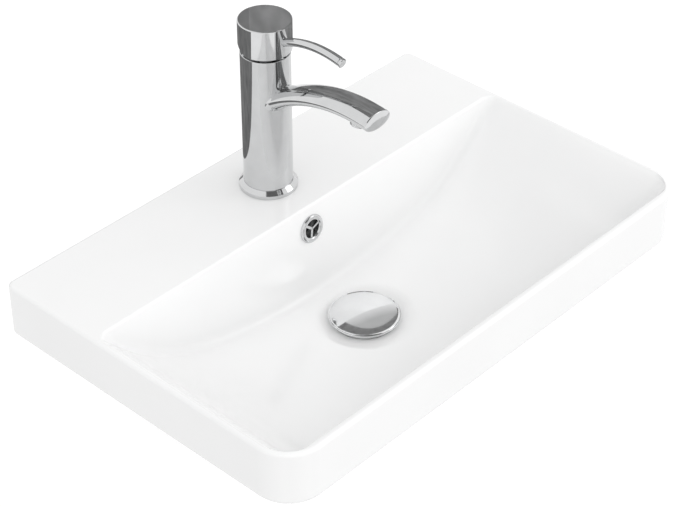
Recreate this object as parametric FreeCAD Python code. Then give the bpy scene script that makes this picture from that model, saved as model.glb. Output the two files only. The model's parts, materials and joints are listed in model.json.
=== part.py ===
"""Inset basin with a single-lever mixer tap and a push-open waste.

Millimetres, +Z up. The origin is the middle of the rim's underside, on the worktop that carries the basin.
+Y points to the wall behind the basin and the user stands at -Y.
"""
import FreeCAD, Part
import math
import os

from FreeCAD import Vector

# Shared by all pieces
match = 0.01
overrun = 1.0

# Basin outline
basin_width = 560.0
basin_depth = 365.0
apron_height = 59.0
apron_wall = 14.0
front_corner_radius = 38.0
back_corner_radius = 8.0
cavity_corner_radius = 10.0
top_edge_radius = 4.0
bottom_edge_radius = 6.0

# Bowl
rim_width = 8.0
rim_inner_radius = 3.0
deck_depth = 120.5
deck_thickness = 11.0
bowl_wall = 10.0
bowl_depth = 98.0
floor_arc_radius = 620.0
floor_arc_half_span = 150.0
front_wall_draft = 19.0
back_wall_draft = 5.7
front_floor_radius = 30.0
back_floor_radius = 10.0
shell_inset = 6.0

# Waste hole and its dish
drain_from_back_wall = 73.5
dish_depth = 2.0
dish_flat_radius = 38.0
dish_slope_run = 18.0
dish_slope_rise = 4.5
waste_hole_radius = 23.0
boss_radius = 40.0
boss_depth = 47.0

# Overflow duct behind the back wall and under the floor
overflow_drop = 26.0
overflow_hole_radius = 11.0
duct_inner_half_width = 22.0
duct_inner_depth = 10.0
duct_wall = 8.0
duct_head_room = 14.0
duct_channel_height = 16.0
duct_channel_floor = 9.0
duct_corner_radius = 6.0

# Overflow ring
ring_radius = 15.0
ring_height = 3.0
ring_edge_radius = 1.4
ring_bore_radius = 9.2
ring_collar_radius = 10.3
ring_collar_length = 9.0
ring_spoke_width = 2.6
ring_spoke_height = 2.6
ring_spoke_angles = (20.0, 140.0, 260.0)
ring_spoke_sink = 1.2
sleeve_length = 8.0

# Waste body
flange_radius = 32.5
flange_thickness = 2.2
flange_gasket_thickness = 0.8
gasket_inset = 0.5
waste_thread_radius = 20.95
waste_bore_radius = 18.5
waste_length = 88.0
slot_count = 4
slot_width = 16.0
slot_margin = 1.0
hub_radius = 9.5
hub_height = 7.0
spoke_count = 3
spoke_width = 5.0
hub_drop = 10.0
relief_width = 2.0
relief_depth = 0.6
relief_gap = 1.5
gasket_clearance = 0.25
boss_gasket_height = 8.0
boss_gasket_radius = 31.0
boss_gasket_toe_radius = 26.5
slip_washer_radius = 29.0
slip_washer_thickness = 1.5
backnut_flats = 56.0
backnut_height = 10.0
backnut_flange_radius = 31.5
backnut_flange_height = 3.0

# Push plug
plug_radius = 36.0
plug_edge = 0.9
plug_edge_radius = 0.5
plug_dome_rise = 2.5
plug_flare_width = 4.0
plug_flare_rise = 1.2
plug_seal_thickness = 1.2
plug_seal_radius = 25.0
plug_boss_radius = 8.0
plug_boss_length = 7.0
plug_travel = 9.0
plunger_radius = 4.0
plunger_thread_radius = 3.0
plunger_collar_radius = 6.3
plunger_collar_height = 3.0
plunger_tail = 3.0
click_bore_radius = 6.5
click_wall = 2.5
click_thread_radius = 6.0
click_floor = 3.0
collar_flange_height = 4.0
collar_spigot_length = 5.0
collar_bore_clearance = 0.1
stop_gap = 1.0
spring_rest_length = 16.0
spring_wire_radius = 0.6
spring_turns = 5
spring_seat_gap = 0.05

# Tap body and spout
tap_setback = 65.5
tap_hole_radius = 17.5
tap_radius = 24.4
tap_height = 153.3
base_ring_radius = 29.0
base_ring_height = 8.0
base_ring_bore = 17.0
base_ring_chamfer = 4.0
base_seal_inner = 22.5
base_seal_outer = 26.0
base_seal_height = 1.5
base_seal_clearance = 0.2
spout_width = 33.8
spout_thickness = 18.0
spout_edge_radius = 1.2
spout_arc_radius = 168.5
spout_crown_reach = 117.0
spout_crown_drop = 14.5
spout_reach = 142.8
spout_root_reach = 14.0
spout_way_width = 22.0
spout_way_thickness = 6.0
aerator_reach = 121.5
aerator_boss_radius = 10.2
aerator_boss_drop = 1.0
aerator_socket_radius = 8.5
aerator_socket_depth = 8.0
aerator_flange_radius = 9.7
aerator_flange_height = 3.7
aerator_wall = 1.2
aerator_washer_height = 1.5
aerator_insert_height = 5.0
aerator_clearance = 0.1
aerator_hole_radius = 0.9
aerator_hole_counts = (1, 6, 10)
aerator_hole_reaches = (0.0, 2.9, 5.5)

# Tap inlets, outlet and fixing
inlet_radius = 5.0
inlet_thread_length = 12.0
inlet_way_radius = 3.5
inlet_offset_x = 8.5
inlet_offset_y = 4.0
outlet_way_radius = 3.5
stud_radius = 4.0
stud_offset_y = -10.5
stud_insert = 14.0
stud_below_deck = 20.0
horseshoe_radius = 25.0
horseshoe_slot_half_width = 15.5
horseshoe_slot_start = -4.5
horseshoe_pad_thickness = 3.0
horseshoe_plate_thickness = 3.0
horseshoe_hole_clearance = 0.4
fixing_nut_flats = 13.0
fixing_nut_height = 6.5

# Mixer cartridge, with drops and rises from the top of the tap body
chamber_drop = 38.0
chamber_radius = 18.0
nut_seat_drop = 12.0
nut_bore_radius = 20.0
cartridge_clearance = 0.1
cartridge_base_height = 4.0
seal_ring_radius = 5.2
seal_ring_wall = 1.4
seal_ring_height = 1.8
housing_bore_radius = 15.0
fixed_disc_height = 4.0
fixed_disc_clearance = 0.2
disc_port_radius = 3.2
disc_port_offset = 7.5
moving_disc_radius = 12.0
moving_disc_height = 5.5
moving_pocket_depth = 3.6
moving_well_radius = 6.0
moving_well_depth = 1.8
carrier_gap = 0.5
carrier_flange_height = 3.8
carrier_top_gap = 0.2
carrier_neck_radius = 11.0
carrier_neck_clearance = 0.1
carrier_neck_rise = 8.0
carrier_slot_back = 9.0
carrier_slot_front = 7.8
housing_neck_wall = 2.4
housing_neck_rise = 9.0
nut_height = 11.0
nut_neck_clearance = 0.3
nut_slot_width = 4.0
nut_slot_depth = 3.0
nut_slot_count = 4
cover_clearance = 0.2
cover_thickness = 1.2
cover_edge = 1.4
cover_rise = 4.0
cover_bore_radius = 11.8
pivot_drop = 17.0
pin_radius = 1.5
pin_half_length = 10.2
stem_width = 8.0
stem_side_clearance = 0.1
stem_ball_radius = 3.0
stem_ball_drop = 8.0
stem_ball_clearance = 0.2
stem_neck_width = 4.4
stem_rise = 20.7
stem_socket_clearance = 0.05

# Handle, with rises from the top of the tap body
cap_radius = 26.0
cap_gap = 2.5
cap_rise = 33.7
cap_edge_radius = 1.0
cap_recess_radius = 22.0
cap_recess_height = 8.0
cap_tilt_relief = 20.0
lever_root_reach = 26.5
lever_root_rise = 18.7
lever_root_slope = 25.6
lever_arc_radius = 108.7
lever_arc_sweep = 39.5
lever_root_radius = 3.9
lever_tip_radius = 4.6
lever_root_overlap = 2.5
lever_station_count = 6
lever_spigot_radius = 2.6
lever_spigot_length = 10.0
lever_groove_from_tip = 3.6
lever_groove_width = 1.2
lever_groove_depth = 0.8
lever_tip_edge_radius = 0.8
screw_rise = 14.5
screw_radius = 2.5
screw_length = 19.0
screw_socket_radius = 1.4
screw_socket_depth = 2.5

# Places worked out from the sizes above
rim_top = apron_height
deck_front_y = basin_depth / 2 - deck_depth
front_rim_y = -basin_depth / 2 + rim_width
end_rim_x = basin_width / 2 - rim_width
floor_z = rim_top - bowl_depth
deck_underside = rim_top - deck_thickness
drain_y = deck_front_y - drain_from_back_wall
dish_z = floor_z - dish_depth
boss_bottom = floor_z - boss_depth
bowl_overrun = front_floor_radius + 2 * bowl_wall
overflow_z = rim_top - overflow_drop
tap_y = basin_depth / 2 - tap_setback
channel_bottom = boss_bottom + duct_channel_floor
channel_top = channel_bottom + duct_channel_height
flange_bottom = dish_z + flange_gasket_thickness
flange_top = flange_bottom + flange_thickness
waste_bottom = flange_bottom - waste_length
gasket_bottom = boss_bottom - boss_gasket_height
washer_bottom = gasket_bottom - slip_washer_thickness
backnut_bottom = washer_bottom - backnut_height
relief_top = backnut_bottom - relief_gap
hub_top = channel_bottom - hub_drop
plug_underside = flange_top + plug_seal_thickness
click_floor_top = hub_top + click_floor
plunger_collar_bottom = click_floor_top + spring_rest_length
click_top = plunger_collar_bottom + plunger_collar_height + plug_travel + stop_gap + collar_spigot_length
click_radius = click_bore_radius + click_wall
spout_crown_height = tap_height - spout_crown_drop
chamber_floor = tap_height - chamber_drop
nut_seat = tap_height - nut_seat_drop
pivot_height = tap_height - pivot_drop
stem_top = tap_height + stem_rise
disc_floor = chamber_floor + cartridge_base_height
moving_floor = disc_floor + fixed_disc_height
carrier_bottom = moving_floor + moving_disc_height + carrier_gap
carrier_shoulder = carrier_bottom + carrier_flange_height + carrier_top_gap
cap_bottom = tap_height + cap_gap
cap_top = tap_height + cap_rise
lever_root_height = tap_height + lever_root_rise
screw_height = tap_height + screw_rise
aerator_mouth = -spout_thickness / 2 - aerator_boss_drop
aerator_socket_top = aerator_mouth + aerator_socket_depth


def cylinder(radius, bottom, top, x=0.0, y=0.0):
    """Upright cylinder between two heights."""
    return Part.makeCylinder(radius, top - bottom, Vector(x, y, bottom))


def ring(outer, inner, bottom, top, x=0.0, y=0.0):
    """Upright ring between two heights."""
    return cylinder(outer, bottom, top, x, y).cut(cylinder(inner, bottom, top, x, y))


def box(x0, x1, y0, y1, z0, z1):
    """Box between three pairs of coordinates."""
    return Part.makeBox(x1 - x0, y1 - y0, z1 - z0, Vector(x0, y0, z0))


def turned(points, y=0.0):
    """Solid turned about the upright axis at (0, y) from (radius, height) points."""
    corners = [Vector(r, 0, z) for r, z in points]
    face = Part.Face(Part.makePolygon(corners + corners[:1]))
    solid = face.revolve(Vector(0, 0, 0), Vector(0, 0, 1), 360)
    solid.translate(Vector(0, y, 0))
    return solid


def prism_along_x(points, half_width):
    """Prism of a YZ polygon, as wide to the left as to the right."""
    corners = [Vector(-half_width, y, z) for y, z in points]
    return Part.Face(Part.makePolygon(corners + corners[:1])).extrude(Vector(2 * half_width, 0, 0))


def hexagon(flats, bottom, top, x=0.0, y=0.0):
    """Hexagonal prism measured across its flats."""
    reach = flats / 2 / math.cos(math.radians(30))
    corners = [
        Vector(x + reach * math.cos(math.radians(a)), y + reach * math.sin(math.radians(a)), bottom)
        for a in range(30, 391, 60)
    ]
    return Part.Face(Part.makePolygon(corners)).extrude(Vector(0, 0, top - bottom))


def arc_through(points):
    """Edge of the circle through three points."""
    return Part.Arc(*points).toShape()


def rounded_block(inset, front_radius, back_radius, bottom, top):
    """Block with the basin's plan drawn in by an inset, its upright edges rounded."""
    x = basin_width / 2 - inset
    y = basin_depth / 2 - inset
    block = box(-x, x, -y, y, bottom, top)
    block = block.makeFillet(front_radius, corner_edges(block, x, -y))
    return block.makeFillet(back_radius, corner_edges(block, x, y))


def corner_edges(block, x, y):
    """Upright edges of a block at one y and at both ends of its width."""
    found = []
    for edge in block.Edges:
        places = [vertex.Point for vertex in edge.Vertexes]
        in_place = all(abs(abs(place.x) - x) < match and abs(place.y - y) < match for place in places)
        if in_place and edge.BoundBox.ZLength > match:
            found.append(edge)
    return found


def back_wall_y(z, offset=0.0):
    """Face of the bowl's back wall at a height, or of a surface behind it."""
    slope = math.radians(back_wall_draft)
    return deck_front_y - (rim_top - z) * math.tan(slope) + offset / math.cos(slope)


def front_wall_y(z, offset=0.0):
    """Face of the bowl's front wall at a height, or of a surface before it."""
    slope = math.radians(front_wall_draft)
    return front_rim_y + (rim_top - z) * math.tan(slope) - offset / math.cos(slope)


def trough_face(offset, y):
    """Hammock section of the bowl: one long floor arc between two tighter end arcs."""
    floor_turn = math.asin(floor_arc_half_span / floor_arc_radius)
    knee_z = floor_z + floor_arc_radius * (1 - math.cos(floor_turn))
    rise = math.atan2(rim_top - knee_z, end_rim_x - floor_arc_half_span)
    end_turn = 2 * rise - floor_turn
    end_radius = (end_rim_x - floor_arc_half_span) / (math.sin(end_turn) - math.sin(floor_turn))
    end_centre_x = floor_arc_half_span - end_radius * math.sin(floor_turn)
    end_centre_z = knee_z + end_radius * math.cos(floor_turn)

    def on_floor(turn):
        radius = floor_arc_radius + offset
        return Vector(radius * math.sin(turn), y, floor_z + floor_arc_radius - radius * math.cos(turn))

    def on_end(turn):
        radius = end_radius + offset
        return Vector(end_centre_x + radius * math.sin(turn), y, end_centre_z - radius * math.cos(turn))

    def mirrored(point):
        return Vector(-point.x, point.y, point.z)

    end_points = [on_end(floor_turn), on_end((floor_turn + end_turn) / 2), on_end(end_turn)]
    along = Vector(math.cos(end_turn), 0, math.sin(end_turn))
    top_right = end_points[2] + along * (bowl_overrun + bowl_wall) / math.sin(end_turn)
    top_left = mirrored(top_right)
    edges = [
        arc_through([on_floor(-floor_turn), on_floor(0), on_floor(floor_turn)]),
        arc_through(end_points),
        Part.makeLine(end_points[2], top_right),
        Part.makeLine(top_right, top_left),
        Part.makeLine(top_left, mirrored(end_points[2])),
        arc_through([mirrored(point) for point in reversed(end_points)]),
    ]
    return Part.Face(Part.Wire(Part.sortEdges(edges)[0]))


def bowl_form(offset):
    """Inside of the bowl, or the same form grown by a wall thickness."""
    top = rim_top + bowl_overrun
    low = floor_z - offset - bowl_overrun
    y_far = basin_depth
    trough = trough_face(offset, -y_far).extrude(Vector(0, 2 * y_far, 0))
    walls = prism_along_x(
        [
            (front_wall_y(top, offset), top),
            (front_wall_y(low, offset), low),
            (back_wall_y(low, offset), low),
            (back_wall_y(top, offset), top),
        ],
        basin_width,
    )
    form = trough.common(walls)
    form = form.makeFillet(front_floor_radius + offset, foot_edges(form, front_wall_y, offset, top))
    return form.makeFillet(back_floor_radius + offset, foot_edges(form, back_wall_y, offset, top))


def foot_edges(form, wall_y, offset, top):
    """Edges of the bowl form that run along the foot of its front or back wall."""
    found = []
    for edge in form.Edges:
        places = [vertex.Point for vertex in edge.Vertexes]
        below_top = min(place.z for place in places) < top - match
        if below_top and all(abs(place.y - wall_y(place.z, offset)) < match for place in places):
            found.append(edge)
    return found


def edges_at_height(shape, z):
    """Edges of a shape that lie in one level plane."""
    return [e for e in shape.Edges if abs(e.BoundBox.ZMin - z) < match and abs(e.BoundBox.ZMax - z) < match]


def basin_body():
    """One ceramic casting: apron, deck, bowl, overflow duct and waste boss."""
    block = rounded_block(0, front_corner_radius, back_corner_radius, 0, apron_height)
    block = block.makeFillet(top_edge_radius, edges_at_height(block, rim_top))
    block = block.makeFillet(bottom_edge_radius, edges_at_height(block, 0))
    hollow_radius = front_corner_radius - apron_wall
    hollow = rounded_block(apron_wall, hollow_radius, cavity_corner_radius, -overrun, deck_underside)
    body = block.cut(hollow)
    shell_radius = front_corner_radius - shell_inset
    shell_top = rim_top - shell_inset
    shell_limit = rounded_block(shell_inset, shell_radius, cavity_corner_radius, boss_bottom, shell_top)
    body = body.fuse(bowl_form(bowl_wall).common(shell_limit))
    body = body.fuse(duct_shell())
    body = body.cut(bowl_form(0)).removeSplitter()
    body = body.makeFillet(rim_inner_radius, bowl_rim_edges(body))
    body = body.cut(duct_channel())
    body = body.cut(waste_opening())
    body = body.cut(overflow_opening())
    body = body.cut(cylinder(tap_hole_radius, deck_underside - overrun, rim_top + overrun, 0, tap_y))
    return body.removeSplitter()


def bowl_rim_edges(body):
    """Edges where the level rim and deck meet the inside of the bowl."""
    inner = []
    for edge in edges_at_height(body, rim_top):
        bounds = edge.BoundBox
        across = max(-bounds.XMin, bounds.XMax) < end_rim_x + match
        along = bounds.YMin > front_rim_y - match and bounds.YMax < deck_front_y + match
        if across and along:
            inner.append(edge)
    return inner


def duct_shell():
    """Outside of the overflow duct, its bridge under the floor and the waste boss."""
    half = duct_inner_half_width + duct_wall
    back = back_wall_y(overflow_z, bowl_wall) + duct_inner_depth + duct_wall
    duct = prism_along_x(
        [
            (back_wall_y(deck_underside), deck_underside),
            (back_wall_y(boss_bottom), boss_bottom),
            (back, boss_bottom),
            (back, deck_underside),
        ],
        half,
    )
    bridge = box(-half, half, drain_y, back, boss_bottom, floor_z)
    boss = cylinder(boss_radius, boss_bottom, floor_z, 0, drain_y)
    shell = duct.fuse(bridge).removeSplitter()
    upright = [e for e in shell.Edges if e.BoundBox.YMin > back - match and e.BoundBox.XLength < match]
    shell = shell.makeFillet(duct_corner_radius, upright)
    return shell.fuse(boss).removeSplitter()


def duct_channel():
    """Inside of the overflow duct, down the back wall and forward to the waste hole."""
    back = back_wall_y(overflow_z, bowl_wall) + duct_inner_depth
    head = overflow_z + duct_head_room
    drop = prism_along_x(
        [
            (back_wall_y(head, bowl_wall), head),
            (back_wall_y(channel_bottom, bowl_wall), channel_bottom),
            (back, channel_bottom),
            (back, head),
        ],
        duct_inner_half_width,
    )
    run = box(-duct_inner_half_width, duct_inner_half_width, drain_y, back, channel_bottom, channel_top)
    return drop.fuse(run)


def waste_opening():
    """Waste hole with the shallow dish that the flange and the plug sit in."""
    hole = cylinder(waste_hole_radius, boss_bottom - overrun, floor_z + overrun, 0, drain_y)
    slope_end = dish_flat_radius + dish_slope_run
    dish = turned(
        [
            (0, dish_z),
            (dish_flat_radius, dish_z),
            (slope_end, dish_z + dish_slope_rise),
            (slope_end, rim_top),
            (0, rim_top),
        ],
        drain_y,
    )
    return hole.fuse(dish)


def stand_on_back_wall(shape):
    """Moves a shape modelled on the XY plane to the overflow's place, facing the bowl."""
    shape.rotate(Vector(0, 0, 0), Vector(1, 0, 0), 90 - back_wall_draft)
    shape.translate(Vector(0, back_wall_y(overflow_z), overflow_z))
    return shape


def overflow_opening():
    """Round overflow hole through the back wall."""
    return stand_on_back_wall(cylinder(overflow_hole_radius, -bowl_wall - duct_inner_depth / 2, ring_height))


def overflow_ring():
    """Chrome ring with a collar and three spokes."""
    body = turned(
        [
            (ring_bore_radius, -ring_collar_length),
            (ring_collar_radius, -ring_collar_length),
            (ring_collar_radius, 0),
            (ring_radius, 0),
            (ring_radius, ring_height),
            (ring_bore_radius, ring_height),
        ]
    )
    body = body.makeFillet(ring_edge_radius, edges_at_height(body, ring_height))
    for angle in ring_spoke_angles:
        spoke = box(
            0,
            ring_bore_radius + (ring_collar_radius - ring_bore_radius) / 2,
            -ring_spoke_width / 2,
            ring_spoke_width / 2,
            -ring_spoke_sink,
            ring_spoke_height - ring_spoke_sink,
        )
        spoke.rotate(Vector(0, 0, 0), Vector(0, 0, 1), angle)
        body = body.fuse(spoke)
    return stand_on_back_wall(body.removeSplitter())


def overflow_sleeve():
    """Rubber sleeve that holds the ring's collar in the ceramic."""
    return stand_on_back_wall(ring(overflow_hole_radius, ring_collar_radius, -sleeve_length, 0))


def waste_body():
    """Flange, threaded tube with overflow slots and the spider that carries the push cartridge."""
    body = turned(
        [
            (waste_bore_radius, waste_bottom),
            (waste_thread_radius, waste_bottom),
            (waste_thread_radius, relief_top - relief_width),
            (waste_thread_radius - relief_depth, relief_top - relief_width),
            (waste_thread_radius - relief_depth, relief_top),
            (waste_thread_radius, relief_top),
            (waste_thread_radius, flange_bottom),
            (flange_radius, flange_bottom),
            (flange_radius, flange_top - flange_thickness / 2),
            (flange_radius - flange_thickness / 2, flange_top),
            (waste_bore_radius, flange_top),
        ]
    )
    for index in range(slot_count):
        slot = box(
            0,
            flange_radius,
            -slot_width / 2,
            slot_width / 2,
            channel_bottom + slot_margin,
            channel_top - slot_margin,
        )
        slot.rotate(Vector(0, 0, 0), Vector(0, 0, 1), 360 / slot_count * (index + 0.5))
        body = body.cut(slot)
    wall_middle = (waste_bore_radius + waste_thread_radius) / 2
    for index in range(spoke_count):
        spoke = box(0, wall_middle, -spoke_width / 2, spoke_width / 2, hub_top - hub_height, hub_top)
        spoke.rotate(Vector(0, 0, 0), Vector(0, 0, 1), 360 / spoke_count * index + 90)
        body = body.fuse(spoke)
    body = body.fuse(cylinder(hub_radius, hub_top - hub_height, hub_top))
    body = body.cut(cylinder(click_thread_radius, hub_top - hub_height, hub_top))
    body.translate(Vector(0, drain_y, 0))
    return body.removeSplitter()


def flange_gasket():
    """Soft ring between the flange and the dish."""
    return ring(flange_radius - gasket_inset, waste_hole_radius, dish_z, flange_bottom, 0, drain_y)


def boss_gasket():
    """Tapered rubber ring pressed against the boss from below."""
    inner = waste_thread_radius + gasket_clearance
    return turned(
        [
            (inner, gasket_bottom),
            (boss_gasket_radius, gasket_bottom),
            (boss_gasket_radius, gasket_bottom + boss_gasket_height / 2),
            (boss_gasket_toe_radius, boss_bottom),
            (inner, boss_bottom),
        ],
        drain_y,
    )


def slip_washer():
    """Thin washer between the rubber and the backnut."""
    inner = waste_thread_radius + gasket_clearance
    return ring(slip_washer_radius, inner, washer_bottom, gasket_bottom, 0, drain_y)


def backnut():
    """Flanged hexagonal nut on the waste thread."""
    shoulder = washer_bottom - backnut_flange_height
    nut = hexagon(backnut_flats, backnut_bottom, shoulder, 0, drain_y)
    nut = nut.fuse(cylinder(backnut_flange_radius, shoulder, washer_bottom, 0, drain_y))
    nut = nut.cut(cylinder(waste_thread_radius, backnut_bottom, washer_bottom, 0, drain_y))
    return nut.removeSplitter()


def click_housing():
    """Tube of the push cartridge, screwed into the spider."""
    tube = cylinder(click_radius, hub_top, click_top)
    tube = tube.fuse(cylinder(click_thread_radius, hub_top - hub_height, hub_top))
    tube = tube.cut(cylinder(click_bore_radius, click_floor_top, click_top))
    tube.translate(Vector(0, drain_y, 0))
    return tube.removeSplitter()


def click_collar():
    """Screwed cap that guides the plunger and stops its collar."""
    guide = plunger_radius + collar_bore_clearance
    spigot_bottom = click_top - collar_spigot_length
    cap = cylinder(click_radius, click_top, click_top + collar_flange_height)
    cap = cap.fuse(cylinder(click_bore_radius, spigot_bottom, click_top))
    cap = cap.cut(cylinder(guide, spigot_bottom, click_top + collar_flange_height))
    cap.translate(Vector(0, drain_y, 0))
    return cap.removeSplitter()


def plunger():
    """Rod that carries the plug, with the collar that the spring pushes on."""
    top = plug_underside
    thread_bottom = plug_underside - plug_boss_length
    rod = cylinder(plunger_radius, plunger_collar_bottom - plunger_tail, thread_bottom)
    rod = rod.fuse(cylinder(plunger_thread_radius, thread_bottom, top))
    rod = rod.fuse(
        cylinder(plunger_collar_radius, plunger_collar_bottom, plunger_collar_bottom + plunger_collar_height)
    )
    rod.translate(Vector(0, drain_y, 0))
    return rod.removeSplitter()


def plunger_spring():
    """Coil under the plunger's collar, swept along quarter-turn arcs."""
    middle = (plunger_radius + click_bore_radius) / 2
    bottom = click_floor_top + spring_wire_radius + spring_seat_gap
    top = plunger_collar_bottom - spring_wire_radius - spring_seat_gap
    quarters = 4 * spring_turns

    def place(step):
        turn = math.radians(90 * step)
        z = bottom + (top - bottom) * step / quarters
        return Vector(middle * math.cos(turn), middle * math.sin(turn), z)

    edges = [arc_through([place(q), place(q + 0.5), place(q + 1)]) for q in range(quarters)]
    path = Part.Wire(edges)
    start = edges[0].tangentAt(edges[0].FirstParameter)
    profile = Part.Wire(Part.makeCircle(spring_wire_radius, place(0), start))
    coil = path.makePipeShell([profile], True, False)
    pitch_gap = (top - bottom) / spring_turns - 2 * spring_wire_radius
    print("spring: gap between turns %.2f mm" % pitch_gap)
    coil.translate(Vector(0, drain_y, 0))
    return coil


def plug_cap():
    """Chrome dome with a thin upright edge over a flared underside, and a threaded boss."""
    edge_bottom = plug_underside + plug_flare_rise
    edge_top = edge_bottom + plug_edge
    sphere_radius = (plug_radius ** 2 + plug_dome_rise ** 2) / (2 * plug_dome_rise)
    middle_radius = plug_radius / 2
    middle_drop = sphere_radius - math.sqrt(sphere_radius ** 2 - middle_radius ** 2)
    crown = edge_top + plug_dome_rise
    points = [
        Vector(0, 0, plug_underside),
        Vector(plug_radius - plug_flare_width, 0, plug_underside),
        Vector(plug_radius, 0, edge_bottom),
        Vector(plug_radius, 0, edge_top),
    ]
    edges = [Part.makeLine(a, b) for a, b in zip(points, points[1:])]
    crown_point = Vector(0, 0, crown)
    edges.append(arc_through([points[-1], Vector(middle_radius, 0, crown - middle_drop), crown_point]))
    edges.append(Part.makeLine(crown_point, points[0]))
    cap = Part.Face(Part.Wire(edges)).revolve(Vector(0, 0, 0), Vector(0, 0, 1), 360)
    cap = cap.makeFillet(plug_edge_radius, edges_at_height(cap, edge_top))
    boss_end = plug_underside - plug_boss_length
    cap = cap.fuse(ring(plug_boss_radius, plunger_thread_radius, boss_end, plug_underside))
    cap.translate(Vector(0, drain_y, 0))
    return cap.removeSplitter()


def plug_seal():
    """Rubber ring that closes on the flange."""
    return ring(plug_seal_radius, plug_boss_radius, flange_top, plug_underside, 0, drain_y)


def tap_frame(shape):
    """Moves a shape modelled on the tap's own axis and deck level to its place on the basin."""
    shape.translate(Vector(0, tap_y, rim_top))
    return shape


def spout_section(width, thickness):
    """Oval on the spout's crown plane, across the line of the spout."""
    centre = Vector(0, -spout_crown_reach, spout_crown_height)
    oval = Part.Ellipse(centre + Vector(width / 2, 0, 0), centre + Vector(0, 0, thickness / 2), centre)
    return Part.Face(Part.Wire(oval.toShape()))


def spout_turn(reach):
    """Angle along the spout's arc, from its crown, of a point at a reach from the tap's axis."""
    return math.degrees(math.asin((reach - spout_crown_reach) / spout_arc_radius))


def spout_run(width, thickness, from_reach, to_reach):
    """Oval swept along the spout's arc between two reaches."""
    centre = Vector(0, -spout_crown_reach, spout_crown_height - spout_arc_radius)
    section = spout_section(width, thickness)
    section.rotate(centre, Vector(1, 0, 0), spout_turn(from_reach))
    return section.revolve(centre, Vector(1, 0, 0), spout_turn(to_reach) - spout_turn(from_reach))


def set_at_aerator(shape):
    """Moves a shape modelled on the upright axis, spout centreline at z 0, to the aerator's place."""
    centre = Vector(0, -spout_crown_reach, spout_crown_height - spout_arc_radius)
    shape.translate(Vector(0, -spout_crown_reach, spout_crown_height))
    shape.rotate(centre, Vector(1, 0, 0), spout_turn(aerator_reach))
    return shape


def spout_way():
    """Flat waterway from below the cartridge's outlet along the spout to the aerator."""
    return spout_run(spout_way_width, spout_way_thickness, disc_port_offset, aerator_reach)


def tap_body():
    """Turned body with the inlets, the outlet to the spout and the cartridge chamber."""
    body = cylinder(tap_radius, base_ring_height, tap_height)
    body = body.cut(spout_way())
    body = body.cut(cylinder(chamber_radius, chamber_floor, nut_seat))
    body = body.cut(cylinder(nut_bore_radius, nut_seat, tap_height))
    thread_top = base_ring_height + inlet_thread_length
    for x in (-inlet_offset_x, inlet_offset_x):
        body = body.cut(cylinder(inlet_radius, base_ring_height, thread_top, x, inlet_offset_y))
        body = body.cut(cylinder(inlet_way_radius, thread_top, chamber_floor, x, inlet_offset_y))
    way_run = spout_crown_reach - disc_port_offset
    way_drop = spout_arc_radius - math.sqrt(spout_arc_radius ** 2 - way_run ** 2)
    outlet_bottom = spout_crown_height - way_drop
    body = body.cut(cylinder(outlet_way_radius, outlet_bottom, chamber_floor, 0, -disc_port_offset))
    body = body.cut(cylinder(stud_radius, base_ring_height, base_ring_height + stud_insert, 0, stud_offset_y))
    return tap_frame(body.removeSplitter())


def spout():
    """Arched oval spout with an upright end, saddled on the body, with the socket for the aerator."""
    run_end = spout_reach + spout_thickness / 2
    form = spout_run(spout_width, spout_thickness, spout_root_reach, run_end)
    form = form.cut(box(-spout_width, spout_width, -2 * run_end, -spout_reach, 0, 2 * tap_height))
    tip_edges = [e for e in form.Edges if e.BoundBox.YMax < -spout_reach + match]
    form = form.makeFillet(spout_edge_radius, tip_edges)
    form = form.fuse(set_at_aerator(cylinder(aerator_boss_radius, aerator_mouth, 0)))
    form = form.cut(spout_way())
    form = form.cut(set_at_aerator(cylinder(aerator_socket_radius, aerator_mouth, aerator_socket_top)))
    form = form.cut(cylinder(tap_radius, 0, tap_height))
    return tap_frame(form.removeSplitter())


def base_ring():
    """Chamfered ring between the tap and the deck, with a groove for its seal."""
    body = turned(
        [
            (base_ring_bore, 0),
            (base_ring_radius, 0),
            (base_ring_radius, base_ring_height - base_ring_chamfer),
            (base_ring_radius - base_ring_chamfer, base_ring_height),
            (base_ring_bore, base_ring_height),
        ]
    )
    groove = ring(
        base_seal_outer + base_seal_clearance,
        base_seal_inner - base_seal_clearance,
        0,
        base_seal_height,
    )
    return tap_frame(body.cut(groove))


def base_seal():
    """Rubber ring in the base ring's groove."""
    return tap_frame(ring(base_seal_outer, base_seal_inner, 0, base_seal_height))


def aerator_housing():
    """Turned sleeve of the aerator, with the ring that shows under the spout."""
    top = aerator_socket_top - aerator_washer_height
    bottom = aerator_mouth - aerator_flange_height
    sleeve = aerator_socket_radius - aerator_clearance
    body = turned(
        [
            (sleeve - aerator_wall, bottom),
            (aerator_flange_radius - aerator_wall, bottom),
            (aerator_flange_radius, bottom + aerator_wall),
            (aerator_flange_radius, aerator_mouth),
            (sleeve, aerator_mouth),
            (sleeve, top),
            (sleeve - aerator_wall, top),
        ]
    )
    return tap_frame(set_at_aerator(body))


def aerator_insert():
    """Plastic jet plate inside the aerator's sleeve."""
    top = aerator_socket_top - aerator_washer_height
    radius = aerator_socket_radius - aerator_clearance - aerator_wall
    body = cylinder(radius, top - aerator_insert_height, top)
    for count, reach in zip(aerator_hole_counts, aerator_hole_reaches):
        for index in range(count):
            turn = 2 * math.pi * index / count
            x = reach * math.cos(turn)
            y = reach * math.sin(turn)
            body = body.cut(cylinder(aerator_hole_radius, top - aerator_insert_height, top, x, y))
    return tap_frame(set_at_aerator(body))


def aerator_washer():
    """Flat rubber ring above the aerator."""
    bottom = aerator_socket_top - aerator_washer_height
    inner = aerator_socket_radius - aerator_clearance - 2 * aerator_wall
    return tap_frame(set_at_aerator(ring(aerator_socket_radius, inner, bottom, aerator_socket_top)))


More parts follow.
